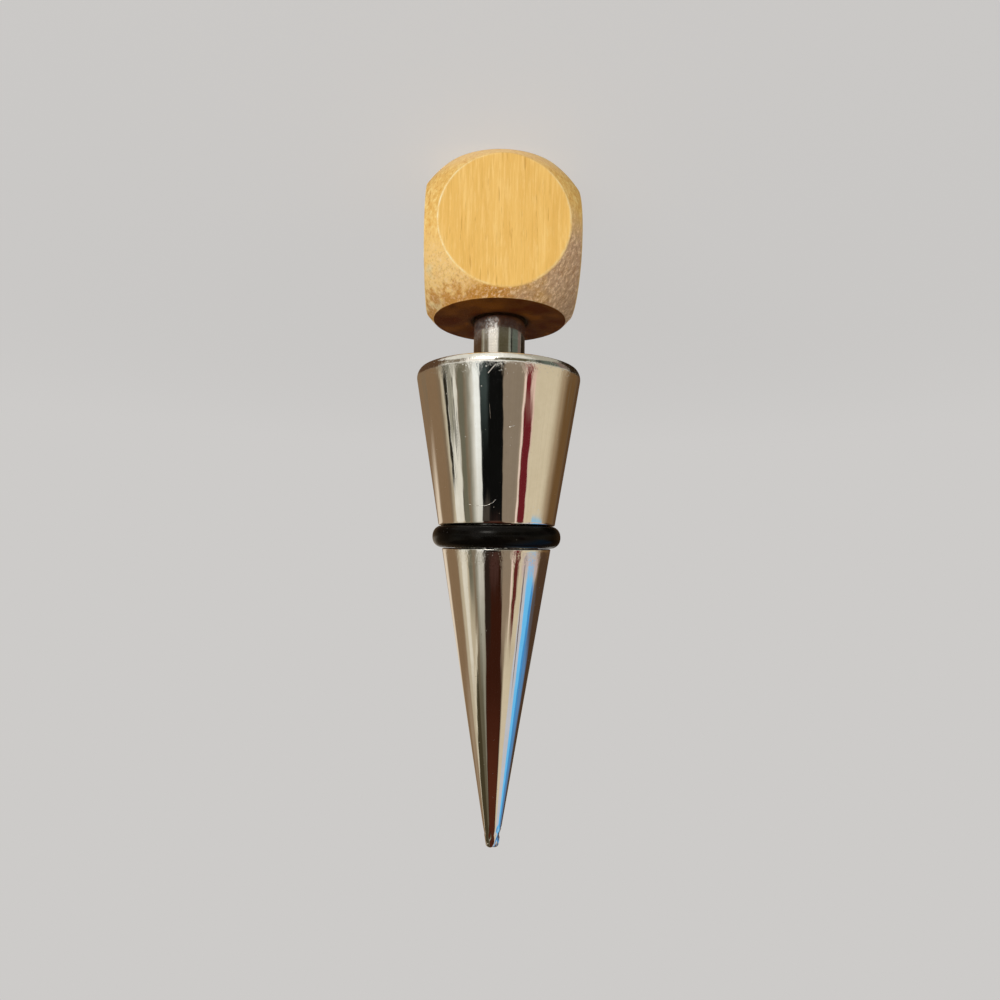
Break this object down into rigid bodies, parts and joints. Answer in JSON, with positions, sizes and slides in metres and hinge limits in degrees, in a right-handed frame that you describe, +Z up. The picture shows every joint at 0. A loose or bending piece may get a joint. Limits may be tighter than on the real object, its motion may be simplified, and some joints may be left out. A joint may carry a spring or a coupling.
{
  "type": "wooden bottle stopper",
  "caption": "Tapered chromed stopper with a rubber sealing ring, a round metal post and a die-shaped wooden head, standing on its head.",
  "frame": {"origin": "the middle of the flat disc on top of the wooden head, which the stopper stands on, upside down", "axes": "+Z up along the stopper's own axis, from the head to the tip; +X and +Y square to the head's flat sides"},
  "size_m": [0.0276, 0.0276, 0.1107],
  "materials": {
    "head_wood": "sanded pale hardwood with straight fine grain, rough on its rounded corners",
    "post_metal": "satin turned metal",
    "body_chrome": "bright plated, with fine scratches and pits",
    "ring_rubber": "satin black"
  },
  "bodies": {
    "root": {"wooden_head": "head_wood", "post": "post_metal", "cone_body": "body_chrome", "seal_ring": "ring_rubber"}
  },
  "joints": []
}
